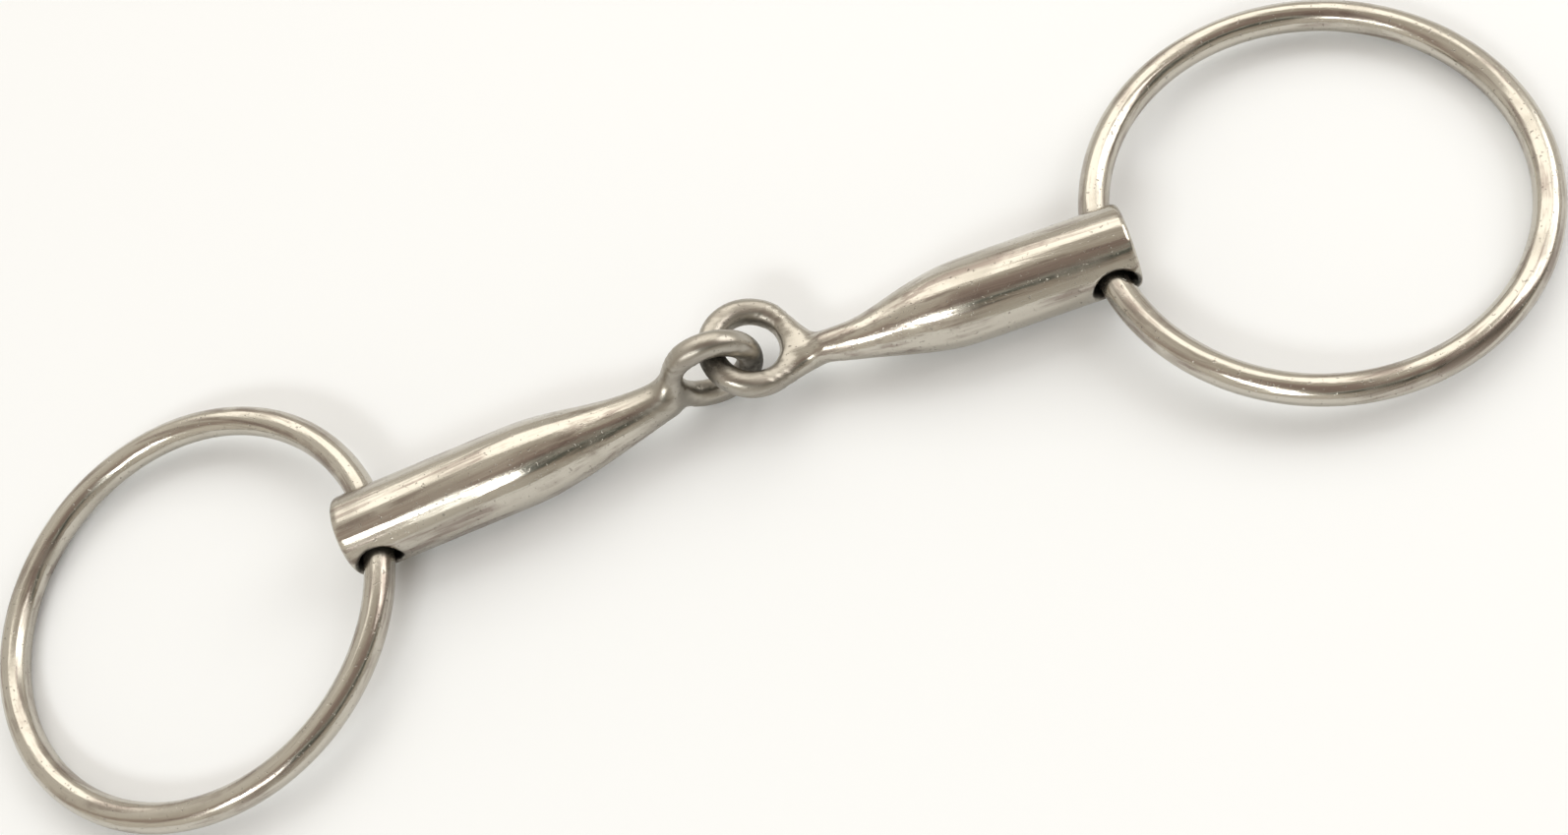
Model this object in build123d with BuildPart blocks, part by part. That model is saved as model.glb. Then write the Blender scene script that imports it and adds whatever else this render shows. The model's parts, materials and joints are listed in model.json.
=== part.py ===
from build123d import *
from math import asin, cos, pi, sin, sqrt
import os

# A loose-ring, single-jointed snaffle bit lying on a table, in millimetres.
# +X runs from the left ring to the right ring and +Z is up. The origin is on the
# table, midway between the centres of the two rings.
# The bit is four pieces of polished stainless steel: two rings, each bent from
# round bar and closed through the hole in its arm, and two arms, each half of the
# mouthpiece with an eye at its thin end. The left eye stands on edge, across its
# ring hole. The right eye lies flat, along its own. The two eyes are linked.

# Rings
ring_radius = 35.7            # centre of the ring to the centre of its bar
ring_bar_diameter = 5.2

# Ring holes, bored straight across the thick end of each arm
hole_play = 0.23              # left round the bar, beyond what its curve takes up
hole_mouth_relief = 0.5       # how much wider the hole's radius is at its mouth
hole_mouth_depth = 1.6
ring_slack = 0.15             # how far the bar lies towards the joint in its hole

# Arms: round and parallel at the thick end, then tapered to a neck
arm_diameter = 14.4
left_end_overhang = 4.9       # middle of the ring hole to the flat end
right_end_overhang = 4.6
arm_end_round = 1.1
thin_end_round = 0.8          # where the body ends inside the eye
left_arm_reach = 63.6         # middle of the ring hole to the middle of the eye
right_arm_reach = 59.9
left_parallel_length = 26.5   # middle of the ring hole to the start of the taper
right_parallel_length = 23.1
left_neck_diameter = 7.3
right_neck_diameter = 5.8
left_neck_gap = 8.0           # middle of the eye to the thinnest part of the neck
right_neck_gap = 11.0
bow_start = 39.0              # middle of the ring hole to where the arm begins to bow
left_eye_side = 2.1           # how far each arm bows to its side by its eye
right_eye_side = -4.3
left_eye_lift = 2.0           # and how far it bows upwards
right_eye_lift = 1.7
left_arm_turn = 2.4           # degrees that each thick end is turned on the table
right_arm_turn = -1.3
left_hole_y = 1.9
body_sections = 16            # sections that the body is drawn through
look_ahead = 0.1              # the step along the arm that gives a section its direction
cut_run_on = 3                # how many mouth depths the hole's cut runs to

# Eyes
eye_inside_diameter = 9.4
eye_bar = 4.4                 # the loop's bar, both across and through
eye_flat = 0.4                # width left flat on each face of the loop's bar
left_eye_turns = (2.4, 0.0, 87.0)       # degrees: sideways, up at the far end, about the arm
right_eye_turns = (-13.8, 18.4, 0.0)
link_play = 1.9               # of the two eyes in each other, along the bit
link_side_step = 1.19         # how far the right eye's middle lies behind the left one's

# Sizes and places that follow
ring_bar_radius = ring_bar_diameter / 2
arm_radius = arm_diameter / 2
ring_bow = ring_radius - sqrt(ring_radius**2 - arm_radius**2)   # inside its hole
hole_radius = ring_bar_radius + ring_bow + hole_play
eye_radius = (eye_inside_diameter + eye_bar) / 2
eye_edge_round = (eye_bar - eye_flat) / 2
ring_reach = ring_radius - ring_slack   # middle of the ring hole to the ring's centre
ring_tilt = asin((arm_radius - ring_bar_radius) / (ring_reach + ring_radius))


def hole_to_eye(side, reach, eye_side, turn):
    """The step from the middle of an arm's ring hole to the middle of its eye, on the table."""
    return Vector(-side * reach, -side * eye_side, 0).rotate(Axis.Z, turn)


def hole_to_ring(hole_y):
    """How far out from its hole a ring's centre is, with that centre at y = 0."""
    return sqrt((ring_reach * cos(ring_tilt)) ** 2 - hole_y**2)


def arm_frame(side, hole_y, turn):
    """The middle of a ring hole, with +X along the arm towards the joint."""
    hole = Vector(side * (ring_spacing / 2 - hole_to_ring(hole_y)), hole_y, arm_radius)
    return Plane(hole, x_dir=Vector(-side, 0, 0).rotate(Axis.Z, turn), z_dir=(0, 0, 1))


def bow_point(frame, reach, eye_steps, x):
    """A point on an arm's centre line, straight at first and then bowed towards the eye."""
    bow = (max(0.0, x - bow_start) / (reach - bow_start)) ** 2
    return frame.from_local_coords(Vector(x, eye_steps[0] * bow, eye_steps[1] * bow))


def make_eye(eye, root):
    """A flat loop with sides that run straight into the neck, its edges rounded."""
    with BuildPart() as loop:
        with BuildSketch(eye):
            Circle(eye_radius + eye_bar / 2)
            with Locations((root.X, root.Y)):
                Circle(eye_bar / 2)
            make_hull()
            Circle(eye_inside_diameter / 2, mode=Mode.SUBTRACT)
        extrude(amount=eye_bar / 2, both=True)
        rims = loop.edges().group_by(Axis(eye.origin, eye.z_dir))
        fillet(rims[0] + rims[-1], eye_edge_round)
    return loop


def make_arm(frame, overhang, reach, parallel, neck_gap, neck_diameter, eye_steps, eye_turns):
    """Half of the mouthpiece: tapered body, eye and ring hole in one piece."""
    neck = reach - neck_gap
    neck_radius = neck_diameter / 2
    # The body stops just past its neck, or in the middle of the loop's bar
    thin_end = min(neck + thin_end_round, reach - eye_radius)
    eye = Plane(bow_point(frame, reach, eye_steps, reach), x_dir=frame.x_dir, z_dir=frame.z_dir)
    eye = eye.rotated(eye_turns, Intrinsic.ZYX)
    with BuildPart() as arm:
        # The body: round sections along the bowed centre line
        for step in range(body_sections + 1):
            x = -overhang + (thin_end + overhang) * step / body_sections
            along_taper = min(max((x - parallel) / (neck - parallel), 0.0), 1.0)
            middle = bow_point(frame, reach, eye_steps, x)
            ahead = bow_point(frame, reach, eye_steps, x + look_ahead)
            with BuildSketch(Plane(middle, x_dir=frame.z_dir, z_dir=ahead - middle)):
                Circle(neck_radius + (arm_radius - neck_radius) * (1 + cos(pi * along_taper)) / 2)
        loft()
        fillet(arm.edges().sort_by(Axis(frame.origin, frame.x_dir))[0], arm_end_round)
        fillet(arm.edges().sort_by(Axis(frame.origin, frame.x_dir))[-1], thin_end_round)
        add(make_eye(eye, eye.to_local_coords(bow_point(frame, reach, eye_steps, neck))).part)

        # The ring hole, straight across, opening out towards its two mouths. The cut's
        # cones run on past the surface, at the same slope.
        straight = arm_radius - hole_mouth_depth
        past = cut_run_on * hole_mouth_depth
        wide = hole_radius + cut_run_on * hole_mouth_relief
        with BuildSketch(frame):
            with BuildLine():
                Polyline(
                    (0, -straight - past),
                    (wide, -straight - past),
                    (hole_radius, -straight),
                    (hole_radius, straight),
                    (wide, straight + past),
                    (0, straight + past),
                    close=True,
                )
            make_face()
        revolve(axis=Axis(frame.origin, frame.y_dir), mode=Mode.SUBTRACT)
    return arm


def make_ring(side, frame):
    """One ring, threaded through the hole of its arm and resting on the table."""
    middle = Vector(side * ring_spacing / 2, 0, arm_radius - ring_reach * sin(ring_tilt))
    outwards = middle - frame.origin
    flat = Plane(middle, x_dir=outwards, z_dir=outwards.cross(Vector(0, side, 0)) * side)
    across = Plane(middle, x_dir=flat.x_dir, z_dir=-flat.y_dir)
    with BuildPart() as ring:
        with BuildSketch(across):
            with Locations((ring_radius, 0)):
                Circle(ring_bar_radius)
        revolve(axis=Axis(middle, flat.z_dir))
    return ring


# The right arm lies where its eye links the left one, and the rings where the arms end
left_step = hole_to_eye(-1, left_arm_reach, left_eye_side, left_arm_turn)
right_step = hole_to_eye(1, right_arm_reach, right_eye_side, right_arm_turn)
right_hole_y = left_hole_y + left_step.Y + link_side_step - right_step.Y
arms_length = left_step.X + eye_inside_diameter - link_play - right_step.X
ring_spacing = hole_to_ring(left_hole_y) + arms_length + hole_to_ring(right_hole_y)

left_frame = arm_frame(-1, left_hole_y, left_arm_turn)
right_frame = arm_frame(1, right_hole_y, right_arm_turn)
left_arm = make_arm(
    left_frame, left_end_overhang, left_arm_reach, left_parallel_length,
    left_neck_gap, left_neck_diameter, (left_eye_side, left_eye_lift), left_eye_turns,
)
right_arm = make_arm(
    right_frame, right_end_overhang, right_arm_reach, right_parallel_length,
    right_neck_gap, right_neck_diameter, (right_eye_side, right_eye_lift), right_eye_turns,
)
left_ring = make_ring(-1, left_frame)
right_ring = make_ring(1, right_frame)

os.makedirs("parts", exist_ok=True)
pieces = {
    "left_ring": left_ring,
    "left_arm": left_arm,
    "right_arm": right_arm,
    "right_ring": right_ring,
}
for name, piece in pieces.items():
    piece.part.label = name
    export_step(piece.part, f"parts/{name}.step")
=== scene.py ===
import json
import math

import bmesh
import bpy
from mathutils import Matrix, Vector, noise


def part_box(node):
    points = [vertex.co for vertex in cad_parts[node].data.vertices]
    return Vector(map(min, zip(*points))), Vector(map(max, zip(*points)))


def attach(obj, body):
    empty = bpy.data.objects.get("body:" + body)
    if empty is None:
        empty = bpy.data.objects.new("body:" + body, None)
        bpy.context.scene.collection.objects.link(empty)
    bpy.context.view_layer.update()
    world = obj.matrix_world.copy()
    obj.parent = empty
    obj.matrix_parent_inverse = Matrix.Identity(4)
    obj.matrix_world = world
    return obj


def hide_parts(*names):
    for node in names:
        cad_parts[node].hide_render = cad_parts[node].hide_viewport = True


# A loose-ring snaffle bit in polished stainless steel. Everything is in metres.
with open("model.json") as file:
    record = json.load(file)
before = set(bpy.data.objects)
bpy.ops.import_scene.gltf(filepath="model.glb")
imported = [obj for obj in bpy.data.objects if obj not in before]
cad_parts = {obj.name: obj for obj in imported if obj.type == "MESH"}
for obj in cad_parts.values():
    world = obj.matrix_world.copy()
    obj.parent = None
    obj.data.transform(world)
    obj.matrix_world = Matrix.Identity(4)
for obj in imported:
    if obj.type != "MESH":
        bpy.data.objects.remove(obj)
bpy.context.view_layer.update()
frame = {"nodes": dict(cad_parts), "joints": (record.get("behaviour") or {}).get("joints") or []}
mm = 0.001
print("frame loaded:", sorted(frame["nodes"]))

# Places that the pieces and finishes are worked out from
joints = {joint["name"]: joint for joint in frame["joints"]}
leftHole = Vector(joints["left_ring_swing"]["pos_m"])
rightHole = Vector(joints["right_ring_swing"]["pos_m"])
linkMiddle = Vector(joints["centre_fold"]["pos_m"])


# Camera
cameraLook = {
    "place": (0.037813, -0.156886, 0.286652),
    "right": (0.93334, -0.26295, -0.24442),     # the way that the view's right side points
    "up": (0.34595, 0.84071, 0.41657),
    "lens": 44.545,
    "sensor": 36.0,
    "clip": (0.01, 20.0),
}


def makeCamera(look):
    data = bpy.data.cameras.new("camera")
    data.lens = look["lens"]
    data.sensor_width = look["sensor"]
    data.clip_start, data.clip_end = look["clip"]
    camera = bpy.data.objects.new("camera", data)
    bpy.context.scene.collection.objects.link(camera)
    right = Vector(look["right"]).normalized()
    back = right.cross(Vector(look["up"])).normalized()
    turn = Matrix((right, back.cross(right), back)).transposed()
    camera.matrix_world = Matrix.Translation(look["place"]) @ turn.to_4x4()
    bpy.context.scene.camera = camera


makeCamera(cameraLook)
print("camera placed")


# Shader expressions
class Part:
    # A socket that takes part in shader maths
    def __init__(self, shade, link):
        self.shade = shade
        self.link = link

    def math(self, operation, *others):
        values = [other.link if isinstance(other, Part) else other for other in others]
        sockets = dict(enumerate([self.link, *values]))
        return self.shade.node("ShaderNodeMath", {"operation": operation}, sockets)

    def __add__(self, other):
        return self.math("ADD", other)

    def __mul__(self, other):
        return self.math("MULTIPLY", other)

    def __sub__(self, other):
        return self.math("SUBTRACT", other)

    def __rsub__(self, other):
        return (self * -1) + other

    __radd__ = __add__
    __rmul__ = __mul__

    def clamp(self):
        return self.math("MAXIMUM", 0).math("MINIMUM", 1)


class Shade:
    def __init__(self, tree):
        self.tree = tree
        tree.nodes.clear()

    def node(self, kind, settings=None, sockets=None, output=0):
        made = self.tree.nodes.new(kind)
        for name, value in (settings or {}).items():
            if name == "stops":
                ramp = made.color_ramp
                for place, colour in value[len(ramp.elements):]:
                    ramp.elements.new(place)
                for element, (place, colour) in zip(ramp.elements, value):
                    element.position = place
                    element.color = colour
            else:
                setattr(made, name, value)
        for name, value in (sockets or {}).items():
            value = value.link if isinstance(value, Part) else value
            if isinstance(value, bpy.types.NodeSocket):
                self.tree.links.new(value, made.inputs[name])
            else:
                made.inputs[name].default_value = value
        return Part(self, made.outputs[output]) if made.outputs else made

    def remap(self, value, low, high, to=(0.0, 1.0)):
        return self.node("ShaderNodeMapRange", {"interpolation_type": "SMOOTHSTEP"}, {
            "Value": value, "From Min": low, "From Max": high,
            "To Min": to[0], "To Max": to[1]})

    def mixColour(self, factor, first, second):
        return self.node("ShaderNodeMix", {"data_type": "RGBA"},
                         {0: factor, 6: first, 7: second}, output=2)

    def noise(self, place, scale, detail, roughness=0.5):
        sockets = {"Vector": place, "Scale": scale, "Detail": detail, "Roughness": roughness}
        return self.node("ShaderNodeTexNoise", {"noise_dimensions": "3D"}, sockets)

    def parts(self, place):
        # The X, Y and Z of a vector
        split = self.node("ShaderNodeSeparateXYZ", None, {0: place}).link.node
        return [Part(self, output) for output in split.outputs]

    def spot(self, place, middle, inner, outer, ways=(1.0, 1.0, 1.0)):
        # 1 within inner of a point, falling to 0 at outer, counted along these ways
        offset = self.node("ShaderNodeVectorMath", {"operation": "SUBTRACT"},
                           {0: place, 1: tuple(middle)})
        counted = self.node("ShaderNodeVectorMath", {"operation": "MULTIPLY"},
                            {0: offset, 1: ways})
        gap = self.node("ShaderNodeVectorMath", {"operation": "LENGTH"}, {0: counted}, output=1)
        return self.remap(gap, inner, outer, (1.0, 0.0))


def rgb(red, green, blue):
    return (red, green, blue, 1.0)


# Polished steel
steelLook = {
    "colour": rgb(0.54, 0.508, 0.447),
    "worn": rgb(0.43, 0.40, 0.345),         # where the polish has gone
    "smeared": rgb(0.25, 0.20, 0.175),      # brown smears drawn along the piece
    "forged": rgb(0.36, 0.335, 0.292),      # the duller steel of the eyes
    "pitsAndShade": rgb(0.085, 0.08, 0.07),      # dark pits, and painted shade in the holes and where the eyes meet
    "roughness": (0.12, 0.27),              # polished, worn
    "forgedReach": (12.0 * mm, 19.0 * mm),  # from the link: all of it, none of it
    "facetDepth": 0.26 * mm,                # the long flats that a polishing belt leaves
    "scratches": 0.08,                      # their depth, as a share of the flats'
    "armDrawing": 0.05,                     # how slowly streaks change along an arm
    "ringDrawing": 0.0025,                  # and round a ring
    "scales": {                             # how fine each pattern is
        "facets": 420.0,
        "smears": 650.0,
        "brushing": 2600.0,
        "clouds": 110.0,
        "grain": 1200.0,
        "pits": 1700.0,
    },
    "shares": {                             # how much each one changes the colour
        "worn": 0.5,
        "brushing": 0.25,
        "smears": 0.75,
        "forged": 0.75,
        "pits": 0.45,
    },
    "dulling": {                            # what each one adds to the roughness
        "pits": 0.15,
        "brushing": 0.05,
        # roughness added where the shade is painted in
        "paintedShade": 0.25,
        "smears": 0.08,
        "forged": 0.15,
    },
}


def alongArm(shade, place, hole):
    # Patterns drawn out along an arm, which lies along X but for a few degrees
    way = linkMiddle - hole
    turn = (0.0, 0.0, -math.atan2(way.y, way.x))
    level = shade.node("ShaderNodeMapping", {"vector_type": "POINT"},
                       {"Vector": place, "Rotation": turn})
    return level, (steelLook["armDrawing"], 1.0, 1.0)


def alongRing(shade, place, middle):
    # Patterns drawn out round a ring: slow with the angle, quick across the bar
    offset = shade.node("ShaderNodeVectorMath", {"operation": "SUBTRACT"},
                        {0: place, 1: tuple(middle)})
    far = shade.node("ShaderNodeVectorMath", {"operation": "LENGTH"}, {0: offset}, output=1)
    way = shade.node("ShaderNodeVectorMath", {"operation": "NORMALIZE"}, {0: offset})
    slow = shade.node("ShaderNodeVectorMath", {"operation": "SCALE"},
                      {0: way, "Scale": steelLook["ringDrawing"]})
    quick = shade.node("ShaderNodeCombineXYZ", None, {"X": far, "Z": shade.parts(offset)[2]})
    both = shade.node("ShaderNodeVectorMath", {"operation": "ADD"}, {0: slow, 1: quick})
    return both, (1.0, 1.0, 1.0)


def makeSteel(name, look, drawn, centre, paintedShadeSpots):
    material = bpy.data.materials.new(name)
    material.use_nodes = True
    shade = Shade(material.node_tree)
    scales, shares, dulling = look["scales"], look["shares"], look["dulling"]
    place = shade.node("ShaderNodeTexCoord", output=3)
    drawnOut, squeeze = drawn(shade, place, centre)

    def streaks(scale, detail, roughness):
        stretched = shade.node("ShaderNodeMapping", {"vector_type": "POINT"}, {
            "Vector": drawnOut, "Scale": tuple(scale * part for part in squeeze)})
        return shade.noise(stretched, 1.0, detail, roughness)

    facets = streaks(scales["facets"], 1.0, 0.5)
    brushed = streaks(scales["brushing"], 3.0, 0.6)
    cloud = shade.noise(place, scales["clouds"], 4.0)
    grain = shade.noise(place, scales["grain"], 3.0)
    pits = shade.remap(shade.noise(place, scales["pits"], 2.0), 0.64, 0.73)
    worn = shade.remap(cloud, 0.46, 0.68)
    smears = shade.remap(streaks(scales["smears"], 4.0, 0.62), 0.48, 0.63)
    smears = smears * shade.remap(cloud, 0.34, 0.54)
    forged = shade.spot(place, linkMiddle, *look["forgedReach"])

    # Painted shade: the steel is darkened in the ring holes and where the eyes meet, where shade
    # falls
    paintedShade = 0.0
    for paintedShadeSpot in paintedShadeSpots:
        paintedShade = shade.spot(place, *paintedShadeSpot).math("MAXIMUM", paintedShade)
    paintedShade = paintedShade * shade.remap(grain, 0.25, 0.6, (0.65, 0.95))

    dulled = worn * shares["worn"] + shade.remap(brushed, 0.55, 0.8) * shares["brushing"]
    base = shade.mixColour(dulled, look["colour"], look["worn"])
    base = shade.mixColour(smears * shares["smears"], base, look["smeared"])
    base = shade.mixColour(forged * shares["forged"], base, look["forged"])
    base = shade.mixColour(pits * shares["pits"], base, look["pitsAndShade"])
    # the painted shade goes on over the holes and where the eyes meet
    base = shade.mixColour(paintedShade.clamp(), base, look["pitsAndShade"])
    polished, dull = look["roughness"]
    rough = worn * (dull - polished) + polished
    rough = rough + pits * dulling["pits"] + brushed * dulling["brushing"]
    rough = rough + paintedShade * dulling["paintedShade"] + smears * dulling["smears"]
    rough = rough + forged * dulling["forged"]
    bump = shade.node("ShaderNodeBump", None, {
        "Strength": 1.0, "Distance": look["facetDepth"],
        "Height": facets + (brushed + grain * 0.3 - pits * 0.8) * look["scratches"]})
    shader = shade.node("ShaderNodeBsdfPrincipled", None, {
        "Base Color": base,
        "Metallic": 1.0,
        "Roughness": rough.clamp(),
        "Normal": bump,
    })
    shade.node("ShaderNodeOutputMaterial", None, {"Surface": shader})
    return material


# Rings
ringLook = {
    "barDiameter": 5.2 * mm,
    "barSides": 40,
    "steps": 360,
    "weld": 0.01 * mm,          # points closer than this are one
    "waver": 0.05 * mm,         # how far hand work leaves the bar from a true round
    "waverScale": 60.0,
    "paintedHoleShade": (5.0 * mm, 8.5 * mm),      # painted shade on the ring by the hole, from the hole's middle: all of it, none of it
}


def finish(name, mesh, material, node, body):
    piece = bpy.data.objects.new(name, mesh)
    bpy.context.scene.collection.objects.link(piece)
    mesh.materials.clear()
    mesh.materials.append(material)
    for face in mesh.polygons:
        face.use_smooth = True
    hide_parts(node)
    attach(piece, body)
    return piece


def waver(bm, look):
    bm.normal_update()
    moved = [v.co + v.normal * noise.noise(v.co * look["waverScale"]) * look["waver"]
             for v in bm.verts]
    for vertex, place in zip(bm.verts, moved):
        vertex.co = place


def makeRing(side, name, hole, look):
    low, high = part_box(name)
    bar = look["barDiameter"] / 2
    radius = (high.y - low.y) / 2 - bar
    middle = (low + high) / 2
    tilt = math.asin(((high.z - low.z) / 2 - bar) / radius)
    bm = bmesh.new()
    section = bmesh.ops.create_circle(bm, segments=look["barSides"], radius=bar)
    bmesh.ops.rotate(bm, verts=section["verts"], matrix=Matrix.Rotation(math.pi / 2, 3, "X"))
    bmesh.ops.translate(bm, verts=section["verts"], vec=(radius, 0, 0))
    bmesh.ops.spin(bm, geom=bm.verts[:] + bm.edges[:], cent=(0, 0, 0), axis=(0, 0, 1),
                   angle=math.tau, steps=look["steps"], use_merge=True)
    bmesh.ops.remove_doubles(bm, verts=bm.verts, dist=look["weld"])
    bmesh.ops.recalc_face_normals(bm, faces=bm.faces)
    bmesh.ops.rotate(bm, verts=bm.verts, matrix=Matrix.Rotation(side * tilt, 3, "Y"))
    bmesh.ops.translate(bm, verts=bm.verts, vec=middle)
    waver(bm, look)
    mesh = bpy.data.meshes.new(name + "_steel")
    bm.to_mesh(mesh)
    bm.free()
    # the ring is darkened with painted shade where it runs into the arm's hole
    steel = makeSteel(name + "Steel", steelLook, alongRing, middle, [
        (hole, *look["paintedHoleShade"])])
    return finish(name + "_steel", mesh, steel, name, name)


makeRing(-1, "left_ring", leftHole, ringLook)
makeRing(1, "right_ring", rightHole, ringLook)
print("rings made")


# Arms
armLook = {
    "grain": 0.25 * mm,         # size of the surface's faces
    "weld": 0.001 * mm,         # points closer than this are one
    "forging": 2.4 * mm,        # radius that the neck runs into its eye with
    "settling": (1, 2),         # smoothing passes before it is grown, and shrunk
    "polish": 4,                # smoothing passes all over
    "blend": 45,                # more of them where the neck runs into the eye,
    "blendRings": (1.0, 0.85, 0.7, 0.55, 0.4),      # within smaller and smaller reaches
    "roots": {                  # that place: from the link towards the hole, and its reach
        "left_arm": (9.5 * mm, 8.0 * mm),
        "right_arm": (14.5 * mm, 8.5 * mm),
    },
    "paintedBoreShade": (3.9 * mm, 4.4 * mm),       # painted shade within the ring hole: all of it, none of it
    "paintedContactShade": {                 # painted shade by the link, where the eyes meet: along, across, up, inner, outer
        "left_arm": (7.2 * mm, 0.0, -4.4 * mm, 2.6 * mm, 5.6 * mm),
        "right_arm": (0.0, 0.0, 0.0, 2.6 * mm, 5.0 * mm),
    },
    "waver": 0.03 * mm,
    "waverScale": 45.0,
}


def remeshed(mesh, size):
    holder = bpy.data.objects.new("blank", mesh)
    bpy.context.scene.collection.objects.link(holder)
    remesh = holder.modifiers.new("remesh", "REMESH")
    remesh.mode = "VOXEL"
    remesh.voxel_size = size
    graph = bpy.context.evaluated_depsgraph_get()
    made = bpy.data.meshes.new_from_object(holder.evaluated_get(graph))
    bpy.data.objects.remove(holder)
    return made


def smoothed(bm, verts, passes):
    for _ in range(passes):
        bmesh.ops.smooth_vert(bm, verts=verts, factor=0.5,
                              use_axis_x=True, use_axis_y=True, use_axis_z=True)


def grown(mesh, step, passes):
    # Every point moved out by step, on a surface smoothed first
    bm = bmesh.new()
    bm.from_mesh(mesh)
    smoothed(bm, bm.verts, passes)
    bm.normal_update()
    for vertex in bm.verts:
        vertex.co += vertex.normal * step
    bm.to_mesh(mesh)
    bm.free()
    return mesh


def makeArm(name, hole, look):
    # The blank is grown and shrunk again, which fills the corners round the neck
    source = bmesh.new()
    source.from_mesh(frame["nodes"][name].data)
    bmesh.ops.remove_doubles(source, verts=source.verts, dist=look["weld"])
    blank = bpy.data.meshes.new(name + "_blank")
    source.to_mesh(blank)
    source.free()
    mesh = remeshed(blank, look["grain"])
    for step, passes in zip((look["forging"], -look["forging"]), look["settling"]):
        mesh = remeshed(grown(mesh, step, passes), look["grain"])
    bm = bmesh.new()
    bm.from_mesh(mesh)
    smoothed(bm, bm.verts, look["polish"])
    step, reach = look["roots"][name]
    root = linkMiddle + (hole - linkMiddle).normalized() * step
    for share in look["blendRings"]:
        near = [v for v in bm.verts if (v.co - root).length < reach * share]
        smoothed(bm, near, look["blend"])
    waver(bm, look)
    bm.to_mesh(mesh)
    bm.free()
    mesh.name = name + "_steel"
    # painted shade in the ring hole's bore and by the link where the eyes meet
    *contactShadeOffset, inner, outer = look["paintedContactShade"][name]
    steel = makeSteel(name + "Steel", steelLook, alongArm, hole, [
        (hole, *look["paintedBoreShade"], (1.0, 0.0, 1.0)), (linkMiddle + Vector(contactShadeOffset), inner, outer)])
    return finish(name + "_steel", mesh, steel, name, name)


makeArm("left_arm", leftHole, armLook)
makeArm("right_arm", rightHole, armLook)
print("arms made")


# Studio
studioLook = {
    "floorSize": 6.0,
    "floorColour": rgb(0.935, 0.965, 1.0),
    "floorRoughness": 0.9,
    "floorGloss": 0.1,
}


def makeFloor(look):
    bm = bmesh.new()
    bmesh.ops.create_grid(bm, x_segments=1, y_segments=1, size=look["floorSize"] / 2)
    mesh = bpy.data.meshes.new("floor")
    bm.to_mesh(mesh)
    bm.free()
    floor = bpy.data.objects.new("floor", mesh)
    bpy.context.scene.collection.objects.link(floor)
    material = bpy.data.materials.new("floorPaper")
    material.use_nodes = True
    shade = Shade(material.node_tree)
    shader = shade.node("ShaderNodeBsdfPrincipled", None, {
        "Base Color": look["floorColour"],
        "Roughness": look["floorRoughness"],
        "Specular IOR Level": look["floorGloss"],
    })
    shade.node("ShaderNodeOutputMaterial", None, {"Surface": shader})
    mesh.materials.append(material)


# Each light: where it is, how far across, how strong, and its colour
lightLook = {
    "window": ((-0.36, -0.62, 0.66), (0.42, 0.19), 2.0, (0.97, 1.0, 0.99)),
    "overhead": ((0.05, 0.75, 0.85), (1.3, 0.8), 4.2, (1.0, 0.97, 0.91)),
    "fill": ((0.85, 0.15, 0.62), (0.6, 0.6), 3.0, (1.0, 0.99, 0.96)),
}


def makeLights(look):
    for name, (place, size, power, colour) in look.items():
        data = bpy.data.lights.new(name, "AREA")
        data.shape = "RECTANGLE"
        data.size, data.size_y = size
        data.energy = power
        data.color = colour
        light = bpy.data.objects.new(name, data)
        bpy.context.scene.collection.objects.link(light)
        light.location = place
        light.rotation_mode = "QUATERNION"
        light.rotation_quaternion = Vector(place).to_track_quat("Z", "Y")


# The surround from the back, over the top, to the front. It is dimmer to the right.
surroundLook = {
    "pale": [
        (0.00, rgb(0.64, 0.605, 0.54)),
        (0.30, rgb(0.70, 0.665, 0.60)),
        (0.50, rgb(0.62, 0.575, 0.50)),
        (0.60, rgb(0.41, 0.335, 0.29)),
        (0.665, rgb(0.36, 0.29, 0.25)),
        (0.70, rgb(0.62, 0.58, 0.50)),
        (0.80, rgb(0.72, 0.68, 0.60)),
        (1.00, rgb(0.60, 0.56, 0.50)),
    ],
    "dim": [
        (0.00, rgb(0.58, 0.545, 0.48)),
        (0.30, rgb(0.72, 0.685, 0.62)),
        (0.48, rgb(0.50, 0.45, 0.38)),
        (0.54, rgb(0.33, 0.255, 0.225)),
        (0.665, rgb(0.25, 0.20, 0.17)),
        (0.70, rgb(0.46, 0.46, 0.41)),
        (0.735, rgb(0.09, 0.095, 0.08)),
        (0.785, rgb(0.11, 0.115, 0.095)),
        (0.82, rgb(0.36, 0.30, 0.25)),
        (0.90, rgb(0.52, 0.49, 0.43)),
    ],
    "dimFrom": -0.26,
    "dimTo": -0.06,
    "strength": 1.15,
}


def makeSurround(look):
    world = bpy.data.worlds.new("surround")
    bpy.context.scene.world = world
    world.use_nodes = True
    shade = Shade(world.node_tree)
    way = shade.node("ShaderNodeTexCoord", output=0)
    x, y, z = shade.parts(way)
    turn = z.math("ARCTAN2", y) * (1 / math.pi)     # 0 at the back, 1 at the front
    pale = shade.node("ShaderNodeValToRGB", {"stops": look["pale"]}, {0: turn})
    dim = shade.node("ShaderNodeValToRGB", {"stops": look["dim"]}, {0: turn})
    across = shade.remap(x, look["dimFrom"], look["dimTo"])
    colour = shade.mixColour(across, pale, dim)
    light = shade.node("ShaderNodeBackground", None, {
        "Color": colour, "Strength": look["strength"]})
    shade.node("ShaderNodeOutputWorld", None, {"Surface": light})


makeFloor(studioLook)
makeLights(lightLook)
makeSurround(surroundLook)
bpy.context.scene.view_settings.view_transform = "Standard"
print("studio made")
